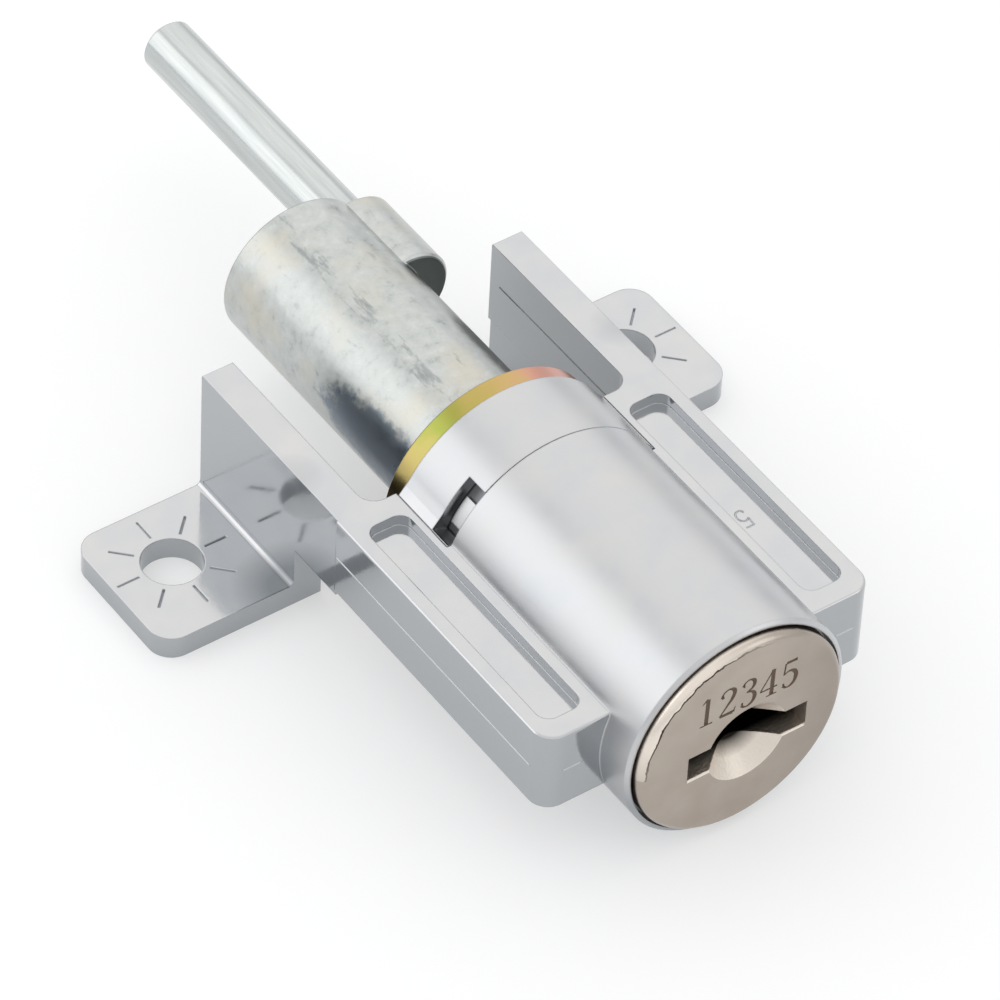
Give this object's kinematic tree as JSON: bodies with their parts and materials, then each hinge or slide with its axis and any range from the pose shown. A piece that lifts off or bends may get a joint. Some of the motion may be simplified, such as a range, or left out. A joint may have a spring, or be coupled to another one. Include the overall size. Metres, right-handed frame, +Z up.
{
  "type": "central cylinder lock",
  "caption": "Keyed cylinder lock for a filing cabinet or pedestal: round barrel between two rails with screw lugs, and a turning driver with an off-centre drive pin.",
  "frame": {"origin": "on the plug's axis at the barrel's front face", "axes": "+Y along the plug's axis from the key side to the drive pin, +Z up away from the face the lugs lie on, +X to the right seen from the key side"},
  "size_m": [0.0528, 0.0844, 0.0196],
  "materials": {
    "housing_zinc": "satin nickel plated zinc casting",
    "cap_zinc": "satin nickel plated zinc casting",
    "plug_nickel": "warm satin nickel plate",
    "passivated_steel": "zinc plated with a yellow iridescent passivation",
    "raw_zinc": "raw casting, mottled and slightly rough",
    "bright_steel": "ground bright",
    "screw_steel": "zinc plated",
    "spring_steel": "spring steel",
    "wafer_brass": "stamped"
  },
  "bodies": {
    "housing": {"housing": "housing_zinc", "cap_ring": "cap_zinc"},
    "plug": {"plug": "plug_nickel", "stop_washer": "passivated_steel", "driver": "raw_zinc", "drive_pin": "bright_steel", "driver_screw": "screw_steel", "lock_washer": "spring_steel", "wafer_spring_1": "spring_steel", "wafer_spring_2": "spring_steel", "wafer_spring_3": "spring_steel", "wafer_spring_4": "spring_steel", "wafer_spring_5": "spring_steel", "wafer_spring_6": "spring_steel", "wafer_spring_7": "spring_steel"},
    "wafer_1": {"wafer_1": "wafer_brass"},
    "wafer_2": {"wafer_2": "wafer_brass"},
    "wafer_3": {"wafer_3": "wafer_brass"},
    "wafer_4": {"wafer_4": "wafer_brass"},
    "wafer_5": {"wafer_5": "wafer_brass"},
    "wafer_6": {"wafer_6": "wafer_brass"},
    "wafer_7": {"wafer_7": "wafer_brass"}
  },
  "joints": [
    {"name": "plug_turn", "type": "hinge", "parent": "housing", "child": "plug", "pos_m": [0, 0, 0], "axis": [0, -1, 0], "range_deg": [0, 180]},
    {"name": "wafer_1_slide", "type": "slide", "parent": "plug", "child": "wafer_1", "axis": [1, 0, 0], "range_m": [0, 0.0008], "stiffness_N_per_m": 100, "springref_m": 0.0016, "deforming": ["wafer_spring_1"]},
    {"name": "wafer_2_slide", "type": "slide", "parent": "plug", "child": "wafer_2", "axis": [-1, 0, 0], "range_m": [0, 0.0008], "stiffness_N_per_m": 100, "springref_m": 0.0016, "deforming": ["wafer_spring_2"]},
    {"name": "wafer_3_slide", "type": "slide", "parent": "plug", "child": "wafer_3", "axis": [1, 0, 0], "range_m": [0, 0.0008], "stiffness_N_per_m": 100, "springref_m": 0.0016, "deforming": ["wafer_spring_3"]},
    {"name": "wafer_4_slide", "type": "slide", "parent": "plug", "child": "wafer_4", "axis": [-1, 0, 0], "range_m": [0, 0.0008], "stiffness_N_per_m": 100, "springref_m": 0.0016, "deforming": ["wafer_spring_4"]},
    {"name": "wafer_5_slide", "type": "slide", "parent": "plug", "child": "wafer_5", "axis": [1, 0, 0], "range_m": [0, 0.0008], "stiffness_N_per_m": 100, "springref_m": 0.0016, "deforming": ["wafer_spring_5"]},
    {"name": "wafer_6_slide", "type": "slide", "parent": "plug", "child": "wafer_6", "axis": [-1, 0, 0], "range_m": [0, 0.0008], "stiffness_N_per_m": 100, "springref_m": 0.0016, "deforming": ["wafer_spring_6"]},
    {"name": "wafer_7_slide", "type": "slide", "parent": "plug", "child": "wafer_7", "axis": [1, 0, 0], "range_m": [0, 0.0008], "stiffness_N_per_m": 100, "springref_m": 0.0016, "deforming": ["wafer_spring_7"]}
  ]
}
